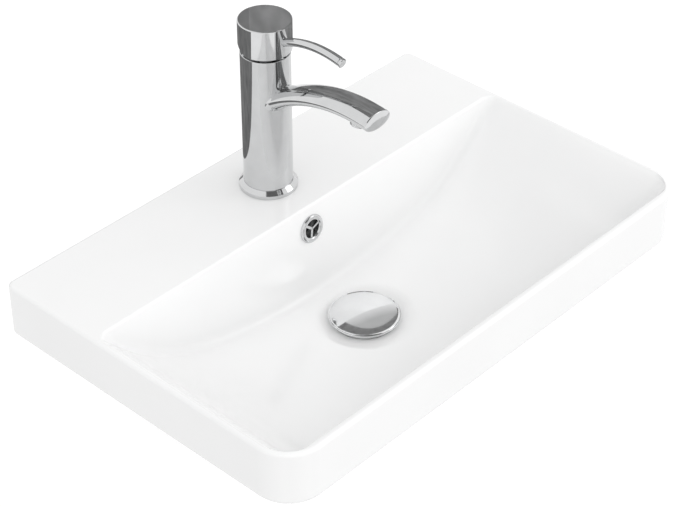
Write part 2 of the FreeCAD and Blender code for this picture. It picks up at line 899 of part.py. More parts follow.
def port_places():
    """Plan places of the cartridge's two inlets and its outlet."""
    return [(-inlet_offset_x, inlet_offset_y), (inlet_offset_x, inlet_offset_y), (0, -disc_port_offset)]


def cartridge_base():
    """Plastic base of the cartridge with its three ports."""
    body = cylinder(chamber_radius - cartridge_clearance, chamber_floor, disc_floor)
    for x, y in port_places():
        body = body.cut(cylinder(disc_port_radius, chamber_floor, disc_floor, x, y))
        body = body.cut(port_seal(x, y))
    return tap_frame(body)


def port_seal(x, y):
    """Rubber ring round one port."""
    inner = seal_ring_radius - seal_ring_wall
    return ring(seal_ring_radius, inner, chamber_floor, chamber_floor + seal_ring_height, x, y)


def port_seals():
    """Three rubber rings under the cartridge's ports."""
    return tap_frame(Part.makeCompound([port_seal(x, y) for x, y in port_places()]))


def cartridge_housing():
    """Plastic cup of the cartridge with the neck that guides the carrier."""
    neck_bore = carrier_neck_radius + carrier_neck_clearance
    neck_radius = neck_bore + housing_neck_wall
    outer = chamber_radius - cartridge_clearance
    return tap_frame(
        turned(
            [
                (housing_bore_radius, disc_floor),
                (outer, disc_floor),
                (outer, nut_seat),
                (neck_radius, nut_seat),
                (neck_radius, nut_seat + housing_neck_rise),
                (neck_bore, nut_seat + housing_neck_rise),
                (neck_bore, carrier_shoulder),
                (housing_bore_radius, carrier_shoulder),
            ]
        )
    )


def fixed_disc():
    """Ceramic disc that stays still, with the three ports."""
    body = cylinder(housing_bore_radius - fixed_disc_clearance, disc_floor, moving_floor)
    for x, y in port_places():
        body = body.cut(cylinder(disc_port_radius, disc_floor, moving_floor, x, y))
    return tap_frame(body)


def moving_disc():
    """Ceramic disc that slides and turns on the fixed one, with a pocket for the stem's ball."""
    top = moving_floor + moving_disc_height
    body = cylinder(moving_disc_radius, moving_floor, top)
    body = body.cut(cylinder(moving_well_radius, moving_floor, moving_floor + moving_well_depth))
    half = stem_ball_radius + stem_ball_clearance
    pocket = box(-half, half, -half, half, top - moving_pocket_depth, top)
    return tap_frame(body.cut(pocket))


def stem_carrier():
    """Insert that turns in the cartridge and holds the stem's pin."""
    flange_top_z = carrier_bottom + carrier_flange_height
    body = cylinder(housing_bore_radius - carrier_top_gap, carrier_bottom, flange_top_z)
    top = nut_seat + carrier_neck_rise
    body = body.fuse(cylinder(carrier_neck_radius, carrier_bottom, top))
    half = stem_width / 2 + stem_side_clearance
    body = body.cut(box(-half, half, -carrier_slot_front, carrier_slot_back, carrier_bottom, top))
    pin_hole = Part.makeCylinder(
        pin_radius,
        2 * carrier_neck_radius,
        Vector(-carrier_neck_radius, 0, pivot_height),
        Vector(1, 0, 0),
    )
    return tap_frame(body.cut(pin_hole).removeSplitter())


def stem_pin():
    """Cross pin that the stem tilts on."""
    start = Vector(-pin_half_length, 0, pivot_height)
    return tap_frame(Part.makeCylinder(pin_radius, 2 * pin_half_length, start, Vector(1, 0, 0)))


def control_stem():
    """Square stem with a ball at its foot and a bore for the pin."""
    half = stem_width / 2
    ball_z = pivot_height - stem_ball_drop
    neck = stem_neck_width / 2
    shoulder = carrier_bottom + stem_ball_radius
    body = box(-half, half, -half, half, shoulder, stem_top)
    body = body.fuse(box(-neck, neck, -neck, neck, ball_z, shoulder))
    body = body.fuse(Part.makeSphere(stem_ball_radius, Vector(0, 0, ball_z)))
    bore = Part.makeCylinder(
        pin_radius + stem_side_clearance,
        stem_width,
        Vector(-half, 0, pivot_height),
        Vector(1, 0, 0),
    )
    return tap_frame(body.cut(bore).removeSplitter())


def cartridge_nut():
    """Slotted brass ring that holds the cartridge down."""
    neck_radius = carrier_neck_radius + carrier_neck_clearance + housing_neck_wall
    top = nut_seat + nut_height
    body = ring(nut_bore_radius, neck_radius + nut_neck_clearance, nut_seat, top)
    for index in range(nut_slot_count):
        slot = box(0, nut_bore_radius, -nut_slot_width / 2, nut_slot_width / 2, top - nut_slot_depth, top)
        slot.rotate(Vector(0, 0, 0), Vector(0, 0, 1), 360 / nut_slot_count * index)
        body = body.cut(slot)
    return tap_frame(body)


def cartridge_cover():
    """Chrome dished ring that hides the cartridge under the handle."""
    seat = nut_seat + nut_height
    outer = nut_bore_radius - cover_clearance
    return tap_frame(
        turned(
            [
                (outer - cover_thickness, seat),
                (outer, seat),
                (outer, seat + cover_edge),
                (cover_bore_radius, seat + cover_rise),
                (cover_bore_radius, seat + cover_rise - cover_thickness),
                (outer - cover_thickness, seat + cover_edge - cover_thickness / 2),
            ]
        )
    )


def lever_start():
    """Centre of the lever's root, on the cap's front."""
    return Vector(0, -lever_root_reach, lever_root_height)


def handle_cap():
    """Round cap with a relieved rear foot, so that it can tilt back over the body."""
    body = cylinder(cap_radius, cap_bottom, cap_top)
    body = body.makeFillet(cap_edge_radius, edges_at_height(body, cap_top))
    relief_reach = cap_radius + overrun
    relief_rise = relief_reach * math.tan(math.radians(cap_tilt_relief))
    relief = [(0, cap_bottom), (relief_reach, cap_bottom), (relief_reach, cap_bottom + relief_rise)]
    body = body.cut(prism_along_x(relief, cap_radius))
    body = body.cut(cylinder(cap_recess_radius, cap_bottom, cap_bottom + cap_recess_height))
    half = stem_width / 2 + stem_socket_clearance
    body = body.cut(box(-half, half, -half, half, cap_bottom, stem_top))
    spigot_start = lever_start() - Vector(0, overrun, 0)
    spigot_length = lever_spigot_length + overrun
    body = body.cut(Part.makeCylinder(lever_spigot_radius, spigot_length, spigot_start, Vector(0, 1, 0)))
    screw_hole = Part.makeCylinder(screw_radius, cap_radius, Vector(0, half, screw_height), Vector(0, 1, 0))
    return tap_frame(body.cut(screw_hole).removeSplitter())


def lever_rod():
    """Arched rod that thickens towards its tip, with a groove before the end and a spigot in the cap."""
    root = lever_start()
    slope = math.radians(lever_root_slope)
    centre = root + Vector(0, -math.sin(slope), -math.cos(slope)) * lever_arc_radius
    wires = []
    for index in range(lever_station_count):
        share = index / (lever_station_count - 1)
        radius = lever_root_radius + (lever_tip_radius - lever_root_radius) * share
        station = Part.Wire(Part.makeCircle(radius, root, Vector(0, -math.cos(slope), math.sin(slope))))
        turn = (lever_arc_sweep + lever_root_overlap) * share - lever_root_overlap
        station.rotate(centre, Vector(1, 0, 0), turn)
        wires.append(station)
    rod = Part.makeLoft(wires, True, False)
    tip_point = wires[-1].BoundBox.Center
    tip_slope = slope - math.radians(lever_arc_sweep)
    outward = Vector(0, -math.cos(tip_slope), math.sin(tip_slope))
    tip_edges = [e for e in rod.Edges if e.BoundBox.Center.distanceToPoint(tip_point) < lever_tip_edge_radius]
    rod = rod.makeFillet(lever_tip_edge_radius, tip_edges)
    groove_start = tip_point - outward * lever_groove_from_tip
    groove = Part.makeCylinder(2 * lever_tip_radius, lever_groove_width, groove_start, outward)
    core = Part.makeCylinder(lever_tip_radius - lever_groove_depth, lever_groove_width, groove_start, outward)
    rod = rod.cut(groove.cut(core))
    rod = rod.fuse(Part.makeCylinder(lever_spigot_radius, lever_spigot_length, root, Vector(0, 1, 0)))
    cap_solid = cylinder(cap_radius, cap_bottom, cap_top).cut(
        Part.makeCylinder(lever_spigot_radius, cap_radius, root, Vector(0, 1, 0))
    )
    return tap_frame(rod.cut(cap_solid).removeSplitter())


def handle_screw():
    """Grub screw at the back of the cap, tight on the stem."""
    start = stem_width / 2 + stem_socket_clearance
    screw = Part.makeCylinder(screw_radius, screw_length, Vector(0, start, screw_height), Vector(0, 1, 0))
    end = start + screw_length
    socket_start = Vector(0, end - screw_socket_depth, screw_height)
    socket = Part.makeCylinder(screw_socket_radius, screw_socket_depth, socket_start, Vector(0, 1, 0))
    return tap_frame(screw.cut(socket))


def horseshoe(bottom, top):
    """Plate with a slot for the two supply tails and a hole for the stud."""
    plate = cylinder(horseshoe_radius, bottom, top)
    slot = box(
        -horseshoe_slot_half_width,
        horseshoe_slot_half_width,
        horseshoe_slot_start,
        horseshoe_radius,
        bottom,
        top,
    )
    hole = cylinder(stud_radius + horseshoe_hole_clearance, bottom, top, 0, stud_offset_y)
    return tap_frame(plate.cut(slot).cut(hole))


def horseshoe_pad():
    """Rubber horseshoe against the underside of the deck."""
    return horseshoe(-deck_thickness - horseshoe_pad_thickness, -deck_thickness)


def horseshoe_plate():
    """Steel horseshoe under the rubber one."""
    top = -deck_thickness - horseshoe_pad_thickness
    return horseshoe(top - horseshoe_plate_thickness, top)


def fixing_stud():
    """Threaded stud from the tap down through the deck."""
    bottom = -deck_thickness - stud_below_deck
    return tap_frame(cylinder(stud_radius, bottom, base_ring_height + stud_insert, 0, stud_offset_y))


def fixing_nut():
    """Nut that pulls the horseshoe up against the deck."""
    top = -deck_thickness - horseshoe_pad_thickness - horseshoe_plate_thickness
    nut = hexagon(fixing_nut_flats, top - fixing_nut_height, top, 0, stud_offset_y)
    return tap_frame(nut.cut(cylinder(stud_radius, top - fixing_nut_height, top, 0, stud_offset_y)))


PIECES = (
    basin_body,
    overflow_ring,
    overflow_sleeve,
    waste_body,
    flange_gasket,
    boss_gasket,
    slip_washer,
    backnut,
    click_housing,
    click_collar,
    plunger,
    plunger_spring,
    plug_cap,
    plug_seal,
    tap_body,
    spout,
    base_ring,
    base_seal,
    aerator_housing,
    aerator_insert,
    aerator_washer,
    cartridge_base,
    port_seals,
    cartridge_housing,
    fixed_disc,
    moving_disc,
    stem_carrier,
    stem_pin,
    control_stem,
    cartridge_nut,
    cartridge_cover,
    handle_cap,
    lever_rod,
    handle_screw,
    fixing_stud,
    horseshoe_pad,
    horseshoe_plate,
    fixing_nut,
)


os.makedirs("parts", exist_ok=True)
for piece in PIECES:
    shape = piece()
    shape.exportStep("parts/%s.step" % piece.__name__)
    facts = (piece.__name__, len(shape.Solids), shape.isValid(), shape.Volume)
    print("%-18s solids %d valid %s volume %.0f mm3" % facts)
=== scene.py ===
"""Inset basin with a mixer tap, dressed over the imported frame. Metres, in the same frame as the solids."""
import bmesh
import bpy
import json
import math

from mathutils import Matrix, Vector


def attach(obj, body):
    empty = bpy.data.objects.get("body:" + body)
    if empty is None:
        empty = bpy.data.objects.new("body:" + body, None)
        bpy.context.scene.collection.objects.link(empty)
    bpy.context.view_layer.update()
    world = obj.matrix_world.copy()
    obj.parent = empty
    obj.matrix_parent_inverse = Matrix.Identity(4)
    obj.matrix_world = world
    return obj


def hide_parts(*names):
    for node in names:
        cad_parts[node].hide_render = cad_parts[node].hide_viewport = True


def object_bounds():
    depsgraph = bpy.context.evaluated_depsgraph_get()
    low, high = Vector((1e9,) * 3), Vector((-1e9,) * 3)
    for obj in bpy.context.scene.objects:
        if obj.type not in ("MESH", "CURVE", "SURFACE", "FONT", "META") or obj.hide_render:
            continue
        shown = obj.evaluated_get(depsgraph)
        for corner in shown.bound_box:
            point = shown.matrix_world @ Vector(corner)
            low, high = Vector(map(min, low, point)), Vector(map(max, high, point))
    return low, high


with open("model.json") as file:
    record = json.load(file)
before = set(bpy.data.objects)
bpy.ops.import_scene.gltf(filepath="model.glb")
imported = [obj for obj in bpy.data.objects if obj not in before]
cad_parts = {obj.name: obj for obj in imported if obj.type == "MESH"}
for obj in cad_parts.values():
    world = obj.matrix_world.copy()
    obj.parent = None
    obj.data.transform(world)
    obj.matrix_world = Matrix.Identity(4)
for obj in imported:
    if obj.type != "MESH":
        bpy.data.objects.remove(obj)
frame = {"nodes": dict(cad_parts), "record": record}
cad_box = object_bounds()

# Photograph and camera
image_width = 680
focal_pixels = 2065.7
sensor_width = 36.0
camera_azimuth = -47.03
camera_elevation = 36.98
camera_distance = 1.940
camera_target = Vector((-0.0361, -0.0125, 0.059))
camera_reach = 50.0

# Studio
floor_half_size = 6.0
floor_gap = 0.0005
floor_tone = 0.3
floor_rough = 0.9
floor_shown = 0.80
floor_lit = 0.36
world_level = 1.10
world_lean = (-0.05, -0.38, -0.17)
key_place = (1.9, -1.5, 1.75)
key_size = 1.0
key_power = 4.8
dark_tone = 0.21
grey_tone = 0.32
flag_unevenness = 0.25
flag_noise = (30, 2)
dark_flags = {
    "behind_flag": ((-0.5, 0.19, 0.05), (0.06, 0.19, 0.05), (0.25, 0.36, 0.05), (0.25, 0.6, 0.05),
                    (-0.5, 0.6, 0.05)),
    "front_flag": ((-0.3, -1.0, 0.5), (0.3, -1.0, 0.5), (0.3, -1.0, 1.3), (-0.3, -1.0, 1.3)),
    "top_flag": ((-0.9, -1.4, 1.5), (0.5, -1.4, 1.5), (0.5, 0.1, 1.5), (-0.9, 0.1, 1.5)),
}
grey_flags = {
    "side_flag": ((0.06, -0.04, 0.20), (0.06, 0.17, 0.19), (0.06, 0.17, 0.228), (0.06, 0.22, 0.228),
                  (0.06, 0.22, 0.34), (0.06, 0.12, 0.36), (0.06, 0.05, 0.39), (0.06, -0.04, 0.42)),
}
arch_y = 0.2
arch_curve = ((0.14, 0.22), (0.22, 0.42), (0.42, 0.56), (0.44, 0.24))
arch_steps = 24
arch_ends = (0.04, 0.62)
arch_top = 0.9
veil_y = 0.205
veil_low = 0.18
veil_fade = 0.32
veil_tones = (0.96, 0.50)

# Finishes: noises as scale and detail, roughness from low to high, relief as strength and depth
ramp_span = (0.3, 0.7)
glaze_low = (0.918, 0.919, 0.919)
glaze_high = (0.936, 0.937, 0.937)
glaze_specular = 0.4
glaze_rough = (0.10, 0.18)
glaze_relief = (0.015, 0.0004)
glaze_noises = {"tint": (9, 2), "gloss": (40, 3), "relief": (30, 1)}
tap_chrome = 0.66
# The plug's chrome is painted lighter than the tap's: a lighter copy of the same chrome that paints in a
# brighter reflection on its dome
plug_chrome_painted_brighter = 0.79
chrome_spread = 0.02
chrome_cast = (-0.005, 0.0, 0.005)
chrome_rough = (0.03, 0.09)
chrome_relief = (0.02, 0.0002)
chrome_noises = {"tint": (60, 2), "gloss": (220, 2), "relief": (90, 2)}
chrome_wiping = (1, 1, 0.06)
turned_rough_spread = 0.06
turned_relief = (0.1, 0.0002)
turned_noises = {"tint": (120, 3), "gloss": (300, 3), "relief": (500, 2)}

# Slots of the mostly hidden pieces: name, darkest and lightest colour, metal, roughness
turned_slots = {
    "brass": ("turned_brass", (0.6, 0.44, 0.2), (0.68, 0.52, 0.26), 1.0, 0.26),
    "steel": ("plain_steel", (0.5, 0.5, 0.51), (0.58, 0.58, 0.59), 1.0, 0.3),
    "rubber": ("black_rubber", (0.02, 0.02, 0.02), (0.035, 0.035, 0.035), 0.0, 0.6),
    "plastic": ("pale_plastic", (0.72, 0.72, 0.7), (0.8, 0.8, 0.78), 0.0, 0.4),
    "dark_plastic": ("black_plastic", (0.03, 0.03, 0.03), (0.05, 0.05, 0.05), 0.0, 0.5),
    "disc_ceramic": ("lapped_ceramic", (0.8, 0.78, 0.74), (0.88, 0.86, 0.82), 0.0, 0.2),
}

# Meshing
tiny = 1e-6
sliver_area = 2e-6
sharp_angle = 35.0
flood_angle = 60.0
round_steps = 5
lathe_segments = 128

# Basin outline
half_width = 0.280
half_depth = 0.1825
rim_top = 0.059
front_corner_radius = 0.038
back_corner_radius = 0.008
top_edge_radius = 0.004
bottom_edge_radius = 0.006
corner_steps = 20
edge_steps = 8

# Bowl
back_rim_y = 0.062
front_rim_y = -0.1745
end_rim_x = 0.272
floor_z = -0.039
floor_arc_radius = 0.620
floor_arc_half_span = 0.150
roll_drop = 0.016
roll_reach = 0.0022
back_wall_draft = 5.7
front_wall_draft = 19.0
back_floor_radius = 0.010
front_floor_radius = 0.030
rim_cut = 0.0025
rim_land = 0.0001
least_roll = 0.0004
rim_steps = 8
wall_steps = 14
arc_steps = 14
floor_steps = 56
drain_y = -0.0115
dish_z = -0.041
dish_flat_radius = 0.038
dish_radius = 0.054
dish_open_radius = 0.034
dish_grid = 0.003
plain_grid = 0.006
end_steps = 40
end_crowding = 1.5
overflow_z = 0.033
overflow_window = 0.0165

# Overflow ring
ring_radius = 0.015
ring_bore = 0.0092
ring_collar = 0.0103
ring_collar_length = 0.009
ring_height = 0.003
ring_edge = 0.0026
spoke_angles = (20.0, 140.0, 260.0)
spoke_width = 0.0026
spoke_low = -0.0012
spoke_high = 0.0014
spoke_edge = 0.0004
spoke_edge_steps = 2

# Plug
plug_radius = 0.036
plug_underside = -0.0368
plug_flare_width = 0.004
plug_flare_rise = 0.0012
plug_edge = 0.0009
plug_edge_radius = 0.0005
plug_lip = 0.0008
plug_groove_width = 0.0013
plug_groove_depth = 0.0005
plug_groove_edge = 0.0001
plug_dome_rise = 0.0025
plug_dome_steps = 20
plug_boss_radius = 0.008
plug_boss_bore = 0.003
plug_boss_length = 0.007

# Tap
tap_y = 0.117
tap_radius = 0.0244
tap_height = 0.1529
tap_edge = 0.0005
nut_bore = 0.020
nut_seat = 0.1413
chamber_radius = 0.018
chamber_floor = 0.1153
inlet_radius = 0.005
inlet_depth = 0.012
inlet_places = ((-0.0085, 0.004), (0.0085, 0.004))
stud_radius = 0.004
stud_place = (0.0, -0.0105)
hole_segments = 40
base_ring_radius = 0.029
base_ring_bore = 0.017
base_ring_height = 0.008
base_ring_chamfer = 0.004
base_ring_edge = 0.0004

# Spout and aerator
spout_half_width = 0.0169
spout_half_thickness = 0.009
spout_arc_radius = 0.1685
spout_crown_reach = 0.117
spout_crown_height = 0.1388
spout_root_reach = 0.014
spout_reach = 0.1428
spout_edge = 0.0012
spout_end_bulge = 0.0006
spout_end_shares = (0.75, 0.5, 0.25)
spout_flare = 0.0014
spout_stations = 64
spout_segments = 96
aerator_reach = 0.1215
aerator_mouth = -0.010
aerator_boss_radius = 0.0102
aerator_ring_radius = 0.0097
aerator_ring_height = 0.0037
aerator_sleeve = 0.0084
aerator_wall = 0.0012
aerator_top = -0.0035

# Handle
cap_radius = 0.026
cap_bottom = 0.1563
cap_top = 0.187
cap_edge = 0.001
cap_foot_edge = 0.0003
cap_recess_radius = 0.022
cap_recess_top = 0.1638
cap_relief = 20.0
lever_root = Vector((0.0, -0.0265, 0.172))
lever_root_slope = 25.6
lever_root_overlap = 2.5
lever_arc_radius = 0.1087
lever_arc_sweep = 39.5
lever_root_radius = 0.0039
lever_tip_radius = 0.0046
lever_stations = 60
lever_segments = 48
lever_tip_edge = 0.0008
lever_groove_depth = 0.0008
lever_groove_near = 0.0024
lever_groove_far = 0.0036

# Places worked out from the sizes above
cut_z = rim_top - rim_cut
tap_place = Matrix.Translation((0, tap_y, rim_top))


def camera_back():
    """Direction from the target to the camera."""
    turn = math.radians(camera_azimuth)
    rise = math.radians(camera_elevation)
    return Vector((math.sin(turn) * math.cos(rise), -math.cos(turn) * math.cos(rise), math.sin(rise)))


def make_camera():
    """Camera at the photograph's viewing angle."""
    data = bpy.data.cameras.new("camera")
    data.sensor_fit = "HORIZONTAL"
    data.sensor_width = sensor_width
    data.lens = focal_pixels / image_width * sensor_width
    data.clip_end = camera_reach
    camera = bpy.data.objects.new("camera", data)
    bpy.context.scene.collection.objects.link(camera)
    back = camera_back()
    camera.location = camera_target + back * camera_distance
    camera.rotation_euler = back.to_track_quat("Z", "Y").to_euler()
    bpy.context.scene.camera = camera


def node_material(name):
    """New material with its nodes, links and shader."""
    material = bpy.data.materials.new(name)
    material.use_nodes = True
    tree = material.node_tree
    return material, tree.nodes, tree.links, tree.nodes["Principled BSDF"]


def noise(nodes, links, scale, detail, stretch=(1, 1, 1)):
    """Noise value on object coordinates, stretched along the axes where asked."""
    coordinates = nodes.new("ShaderNodeTexCoord").outputs["Object"]
    mapping = nodes.new("ShaderNodeMapping")
    mapping.inputs["Scale"].default_value = stretch
    texture = nodes.new("ShaderNodeTexNoise")
    texture.inputs["Scale"].default_value = scale
    texture.inputs["Detail"].default_value = detail
    links.new(coordinates, mapping.inputs["Vector"])
    links.new(mapping.outputs["Vector"], texture.inputs["Vector"])
    return texture.outputs["Fac"]


def ramp(nodes, links, value, low, high):
    """Colour ramp between two colours over the middle of a noise value."""
    node = nodes.new("ShaderNodeValToRGB")
    for element, position, colour in zip(node.color_ramp.elements, ramp_span, (low, high)):
        element.position = position
        element.color = (*colour, 1)
    links.new(value, node.inputs["Fac"])
    return node.outputs["Color"]


def spread(nodes, links, value, low, high):
    """Value from 0 to 1 mapped onto a range."""
    node = nodes.new("ShaderNodeMapRange")
    node.inputs["To Min"].default_value = low
    node.inputs["To Max"].default_value = high
    links.new(value, node.inputs["Value"])
    return node.outputs["Result"]


def bump(nodes, links, height, strength, distance, shader):
    """Bump from a noise value."""
    node = nodes.new("ShaderNodeBump")
    node.inputs["Strength"].default_value = strength
    node.inputs["Distance"].default_value = distance
    links.new(height, node.inputs["Height"])
    links.new(node.outputs["Normal"], shader.inputs["Normal"])


def glaze_material():
    """White sanitary glaze: a gloss coat over a faintly uneven white body."""
    material, nodes, links, shader = node_material("white_glaze")
    tint = ramp(nodes, links, noise(nodes, links, *glaze_noises["tint"]), glaze_low, glaze_high)
    links.new(tint, shader.inputs["Base Color"])
    shader.inputs["Specular IOR Level"].default_value = glaze_specular
    gloss = spread(nodes, links, noise(nodes, links, *glaze_noises["gloss"]), *glaze_rough)
    links.new(gloss, shader.inputs["Roughness"])
    bump(nodes, links, noise(nodes, links, *glaze_noises["relief"]), *glaze_relief, shader)
    return material


def chrome_material(name, tone):
    """Polished chrome plate with faint wiping marks along its height."""
    material, nodes, links, shader = node_material(name)
    shader.inputs["Metallic"].default_value = 1.0
    low = [tone - chrome_spread + cast for cast in chrome_cast]
    high = [tone + chrome_spread + cast for cast in chrome_cast]
    tint = ramp(nodes, links, noise(nodes, links, *chrome_noises["tint"]), low, high)
    links.new(tint, shader.inputs["Base Color"])
    marks = noise(nodes, links, *chrome_noises["gloss"], chrome_wiping)
    links.new(spread(nodes, links, marks, *chrome_rough), shader.inputs["Roughness"])
    bump(nodes, links, noise(nodes, links, *chrome_noises["relief"]), *chrome_relief, shader)
    return material


def turned_material(name, low, high, metallic, rough):
    """Plain material of the pieces that are mostly hidden, with fine colour, gloss and relief."""
    material, nodes, links, shader = node_material(name)
    shader.inputs["Metallic"].default_value = metallic
    tint = ramp(nodes, links, noise(nodes, links, *turned_noises["tint"]), low, high)
    links.new(tint, shader.inputs["Base Color"])
    marks = noise(nodes, links, *turned_noises["gloss"])
    gloss = spread(nodes, links, marks, rough - turned_rough_spread, rough + turned_rough_spread)
    links.new(gloss, shader.inputs["Roughness"])
    bump(nodes, links, noise(nodes, links, *turned_noises["relief"]), *turned_relief, shader)
    return material


def make_finishes():
    """One material for each slot of the record."""
    finishes = {"glaze": glaze_material(), "chrome": chrome_material("polished_chrome", tap_chrome)}
    for slot, look in turned_slots.items():
        finishes[slot] = turned_material(*look)
    return finishes


def dress_frame(finishes):
    """Gives every carried-over node the material of its slot."""
    for subpart in frame["record"]["subparts"]:
        mesh = frame["nodes"][subpart["node"]].data
        mesh.materials.clear()
        mesh.materials.append(finishes[subpart["material_slot"]])


def new_piece(name, bm, finishes, slot, body, *nodes):
    """Turns a bmesh into a shown piece that rides on a body and stands for the solids' nodes."""
    bmesh.ops.recalc_face_normals(bm, faces=bm.faces)
    for face in bm.faces:
        face.smooth = True
        face.material_index = 0
    mesh = bpy.data.meshes.new(name)
    bm.to_mesh(mesh)
    bm.free()
    mesh.set_sharp_from_angle(angle=math.radians(sharp_angle))
    mesh.materials.append(finishes[slot])
    piece = bpy.data.objects.new(name, mesh)
    bpy.context.scene.collection.objects.link(piece)
    piece.modifiers.new("normals", "WEIGHTED_NORMAL").keep_sharp = True
    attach(piece, body)
    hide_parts(*nodes)


def bridge(bm, low, high):
    """Faces between two closed rings of vertices, one of which may be a single point."""
    count = max(len(low), len(high))
    for index in range(count):
        follow = (index + 1) % count
        corners = (
            low[index % len(low)],
            low[follow % len(low)],
            high[follow % len(high)],
            high[index % len(high)],
        )
        bm.faces.new(list(dict.fromkeys(corners)))


def rounded(corners):
    """Outline through (radius, height, rounding) corners, with each rounding drawn as an arc."""
    points = [Vector(corner[:2]) for corner in corners]
    outline = []
    for index, (point, corner) in enumerate(zip(points, corners)):
        rounding = corner[2]
        if rounding == 0:
            outline.append(tuple(point))
            continue
        before = (points[index - 1] - point).normalized()
        after = (points[(index + 1) % len(points)] - point).normalized()
        half = before.angle(after) / 2
        centre = point + (before + after).normalized() * rounding / math.sin(half)
        start = (point + before * rounding / math.tan(half) - centre).normalized()
        end = (point + after * rounding / math.tan(half) - centre).normalized()
        for step in range(round_steps + 1):
            spoke = start.slerp(end, step / round_steps)
            outline.append(tuple(centre + spoke * rounding))
    return outline


def lathe(bm, outline, closed=False):
    """Turns an outline of (radius, height) points about the upright axis and returns its rings."""
    rings = []
    for radius, height in outline:
        if radius < tiny:
            rings.append([bm.verts.new((0, 0, height))])
            continue
        ring = []
        for index in range(lathe_segments):
            turn = 2 * math.pi * index / lathe_segments
            ring.append(bm.verts.new((radius * math.cos(turn), radius * math.sin(turn), height)))
        rings.append(ring)
    for low, high in zip(rings, rings[1:]):
        bridge(bm, low, high)
    if closed:
        bridge(bm, rings[-1], rings[0])
    return rings


def place(bm, matrix):
    """Moves all of a bmesh to its place."""
    bmesh.ops.transform(bm, matrix=matrix, verts=bm.verts)


def fill(bm, edges):
    """Flat faces between loops of edges that lie in one plane."""
    bmesh.ops.triangle_fill(bm, use_beauty=True, use_dissolve=False, edges=edges)


def open_edges(bm, height):
    """Edges at one height that have a face on one side only."""
    found = []
    for edge in bm.edges:
        if edge.is_boundary and all(abs(vertex.co.z - height) < tiny for vertex in edge.verts):
            found.append(edge)
    return found


def plan_loop(bm, inset, height):
    """Ring of vertices on the basin's rounded plan, drawn in by an inset."""
    ring = []
    corners = (
        (1, 1, back_corner_radius, 0),
        (-1, 1, back_corner_radius, 90),
        (-1, -1, front_corner_radius, 180),
        (1, -1, front_corner_radius, 270),
    )
    for side_x, side_y, radius, start in corners:
        centre_x = side_x * (half_width - radius)
        centre_y = side_y * (half_depth - radius)
        for step in range(corner_steps + 1):
            turn = math.radians(start + 90 * step / corner_steps)
            x = centre_x + (radius - inset) * math.cos(turn)
            y = centre_y + (radius - inset) * math.sin(turn)
            ring.append(bm.verts.new((x, y, height)))
    return ring


def add_apron(bm):
    """Outside of the basin between its rounded bottom and top edges."""
    outline = []
    for step in range(edge_steps + 1):
        turn = math.pi / 2 * step / edge_steps
        rise = bottom_edge_radius * (1 - math.cos(turn))
        outline.append((bottom_edge_radius * (1 - math.sin(turn)), rise))
    for step in range(edge_steps + 1):
        turn = math.pi / 2 * step / edge_steps
        rise = rim_top - top_edge_radius * (1 - math.sin(turn))
        outline.append((top_edge_radius * (1 - math.cos(turn)), rise))
    rings = [plan_loop(bm, inset, height) for inset, height in outline]
    for low, high in zip(rings, rings[1:]):
        bridge(bm, low, high)


def end_arc():
    """Radius and centre of the tighter arc at each end of the bowl's floor."""
    floor_turn = math.asin(floor_arc_half_span / floor_arc_radius)
    knee_z = floor_z + floor_arc_radius * (1 - math.cos(floor_turn))
    run = end_rim_x - floor_arc_half_span
    end_turn = 2 * math.atan2(rim_top - knee_z, run) - floor_turn
    radius = run / (math.sin(end_turn) - math.sin(floor_turn))
    centre_x = floor_arc_half_span - radius * math.sin(floor_turn)
    centre_z = knee_z + radius * math.cos(floor_turn)
    return radius, centre_x, centre_z


def end_roll():
    """Start, control point and end of the curve that rolls the floor over into the rim at each end."""
    radius, centre_x, centre_z = end_arc()
    slope = math.acos((centre_z - rim_top + roll_drop) / radius)
    start = Vector((centre_x + radius * math.sin(slope), rim_top - roll_drop))
    control = Vector((start.x + roll_drop / math.tan(slope), rim_top))
    return start, control, control + Vector((roll_reach, 0))


def trough(x):
    """Height and signed slope of the bowl's hammock floor at a station."""
    if abs(x) <= floor_arc_half_span:
        slope = math.asin(x / floor_arc_radius)
        return floor_z + floor_arc_radius * (1 - math.cos(slope)), slope
    start, control, end = end_roll()
    if abs(x) > start.x:
        # The share along the roll's curve is the root of its quadratic in x
        run = control.x - start.x
        bend = roll_reach - run
        share = (math.sqrt(run ** 2 + bend * (abs(x) - start.x)) - run) / bend
        slope = math.atan2((1 - share) * roll_drop, (1 - share) * run + share * roll_reach)
        return rim_top - roll_drop * (1 - share) ** 2, math.copysign(slope, x)
    radius, centre_x, centre_z = end_arc()
    slope = math.asin((abs(x) - centre_x) / radius)
    return centre_z - radius * math.cos(slope), math.copysign(slope, x)


def station_places():
    """Stations along the bowl, closer together round the drain and towards both ends."""
    # The last station is where the roll comes up to the foot of the rounded rim
    start, control, end = end_roll()
    share = 1 - math.sqrt(rim_cut / roll_drop)
    end_x = start.lerp(control, share).lerp(control.lerp(end, share), share).x
    places = []
    x = dish_grid / 2
    while x < floor_arc_half_span:
        places.append(x)
        x += dish_grid if x < dish_radius else plain_grid
    for step in range(end_steps + 1):
        share = 1 - (1 - step / end_steps) ** end_crowding
        places.append(floor_arc_half_span + (end_x - floor_arc_half_span) * share)
    return [-x for x in reversed(places)] + places


